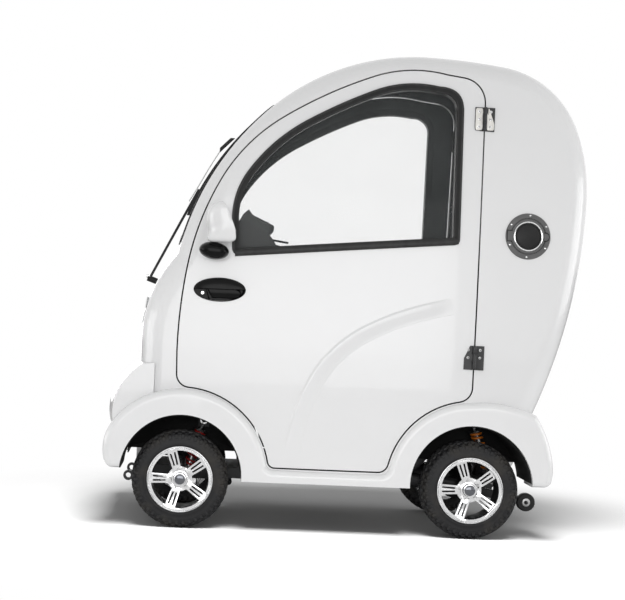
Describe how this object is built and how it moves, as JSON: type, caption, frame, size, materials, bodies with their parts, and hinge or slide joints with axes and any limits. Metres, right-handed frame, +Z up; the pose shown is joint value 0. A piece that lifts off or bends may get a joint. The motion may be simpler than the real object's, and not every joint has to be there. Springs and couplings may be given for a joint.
{
  "type": "enclosed mobility scooter",
  "caption": "Closed one-person mobility scooter with a rounded cabin, rear-hinged side doors, tiller steering and alloy road wheels.",
  "frame": {"origin": "on the ground under the middle of the bounding box", "axes": "+X forward, +Y to the vehicle's left, +Z up"},
  "size_m": [1.6533, 0.974, 1.654],
  "materials": {
    "white_shell": "high gloss white gelcoat",
    "black_steel": "satin black powder coat",
    "floor_grey": "ribbed dark floor covering",
    "clear_glass": "clear",
    "clear_lens": "clear polished lens",
    "red_lens": "red polished lens",
    "black_rubber": "satin extruded rubber",
    "black_plastic": "fine grain",
    "dark_plastic": "fine grain, semi matt",
    "grey_plastic": "satin bronze grey",
    "hinge_steel": "brushed, some painted black",
    "spring_paint": "gloss amber and red",
    "seat_cover": "grained synthetic leather",
    "battery_case": "moulded",
    "bar_steel": "satin",
    "tyre_rubber": "tread rubber",
    "polished_alloy": "machined face, dark barrel"
  },
  "bodies": {
    "body": {"chassis_frame": "black_steel", "floor_pan": "floor_grey", "body_shell": "white_shell", "side_skirts": "white_shell", "front_bumper": "white_shell", "windscreen": "clear_glass", "rear_window": "clear_glass", "window_rubbers": "black_rubber", "wheel_arch_liners": "black_plastic", "headlamps": "clear_lens", "tail_lamps": "red_lens", "wiper": "black_plastic", "charge_port": "grey_plastic", "body_hinges": "hinge_steel", "front_axle": "black_steel", "rear_axle": "black_steel", "dampers": "black_steel", "coil_springs": "spring_paint", "seat_stand": "black_plastic", "seat_cushion": "seat_cover", "seat_back": "seat_cover", "battery_pack": "battery_case", "dashboard": "black_plastic"},
    "left_door": {"left_door_panel": "white_shell", "left_door_glass": "clear_glass", "left_window_seal": "black_rubber", "left_door_handle": "black_plastic", "left_door_mirror": "white_shell", "left_door_hinges": "hinge_steel"},
    "left_knuckle": {"left_knuckle": "black_steel"},
    "left_front_wheel": {"left_front_tyre": "tyre_rubber", "left_front_rim": "polished_alloy"},
    "left_rear_wheel": {"left_rear_tyre": "tyre_rubber", "left_rear_rim": "polished_alloy"},
    "left_stabiliser": {"left_stabiliser_wheel": "black_plastic"},
    "right_door": {"right_door_panel": "white_shell", "right_door_glass": "clear_glass", "right_window_seal": "black_rubber", "right_door_handle": "black_plastic", "right_door_mirror": "white_shell", "right_door_hinges": "hinge_steel"},
    "right_knuckle": {"right_knuckle": "black_steel"},
    "right_front_wheel": {"right_front_tyre": "tyre_rubber", "right_front_rim": "polished_alloy"},
    "right_rear_wheel": {"right_rear_tyre": "tyre_rubber", "right_rear_rim": "polished_alloy"},
    "right_stabiliser": {"right_stabiliser_wheel": "black_plastic"},
    "tiller": {"tiller_column": "black_steel", "tiller_console": "dark_plastic", "handlebar": "bar_steel"},
    "tie_rod": {"tie_rod": "black_steel"}
  },
  "joints": [
    {"name": "left_door_swing", "type": "hinge", "parent": "body", "child": "left_door", "pos_m": [-0.42084, 0.3572, 0.616], "axis": [-0.015, -0.0441, 0.9989], "range_deg": [0, 80]},
    {"name": "right_door_swing", "type": "hinge", "parent": "body", "child": "right_door", "pos_m": [-0.42084, -0.3572, 0.616], "axis": [0.015, -0.0441, -0.9989], "range_deg": [0, 80]},
    {"name": "tiller_turn", "type": "hinge", "parent": "body", "child": "tiller", "pos_m": [0.549, 0, 0.24], "axis": [-0.2311, 0, 0.9729], "range_deg": [-30, 30]},
    {"name": "left_knuckle_turn", "type": "hinge", "parent": "body", "child": "left_knuckle", "pos_m": [0.559, 0.262, 0.165], "axis": [0, 0, 1], "range_deg": [-30, 30]},
    {"name": "left_front_wheel_roll", "type": "hinge", "parent": "left_knuckle", "child": "left_front_wheel", "pos_m": [0.559, 0.3, 0.165], "axis": [0, 1, 0], "continuous": true},
    {"name": "left_rear_wheel_roll", "type": "hinge", "parent": "body", "child": "left_rear_wheel", "pos_m": [-0.426, 0.3, 0.165], "axis": [0, 1, 0], "continuous": true},
    {"name": "left_stabiliser_roll", "type": "hinge", "parent": "body", "child": "left_stabiliser", "pos_m": [-0.661, 0.15, 0.109], "axis": [0, 1, 0], "continuous": true},
    {"name": "right_knuckle_turn", "type": "hinge", "parent": "body", "child": "right_knuckle", "pos_m": [0.559, -0.262, 0.165], "axis": [0, 0, 1], "range_deg": [-30, 30]},
    {"name": "right_front_wheel_roll", "type": "hinge", "parent": "right_knuckle", "child": "right_front_wheel", "pos_m": [0.559, -0.3, 0.165], "axis": [0, 1, 0], "continuous": true},
    {"name": "right_rear_wheel_roll", "type": "hinge", "parent": "body", "child": "right_rear_wheel", "pos_m": [-0.426, -0.3, 0.165], "axis": [0, 1, 0], "continuous": true},
    {"name": "right_stabiliser_roll", "type": "hinge", "parent": "body", "child": "right_stabiliser", "pos_m": [-0.661, -0.15, 0.109], "axis": [0, 1, 0], "continuous": true},
    {"name": "tie_rod_turn", "type": "hinge", "parent": "left_knuckle", "child": "tie_rod", "pos_m": [0.499, 0.262, 0.119], "axis": [0, 0, 1], "range_deg": [-30, 30]}
  ],
  "couplings": [
    {"joint": "left_knuckle_turn", "follows": "tiller_turn", "ratio": 1},
    {"joint": "right_knuckle_turn", "follows": "tiller_turn", "ratio": 1},
    {"joint": "tie_rod_turn", "follows": "tiller_turn", "ratio": -1}
  ]
}
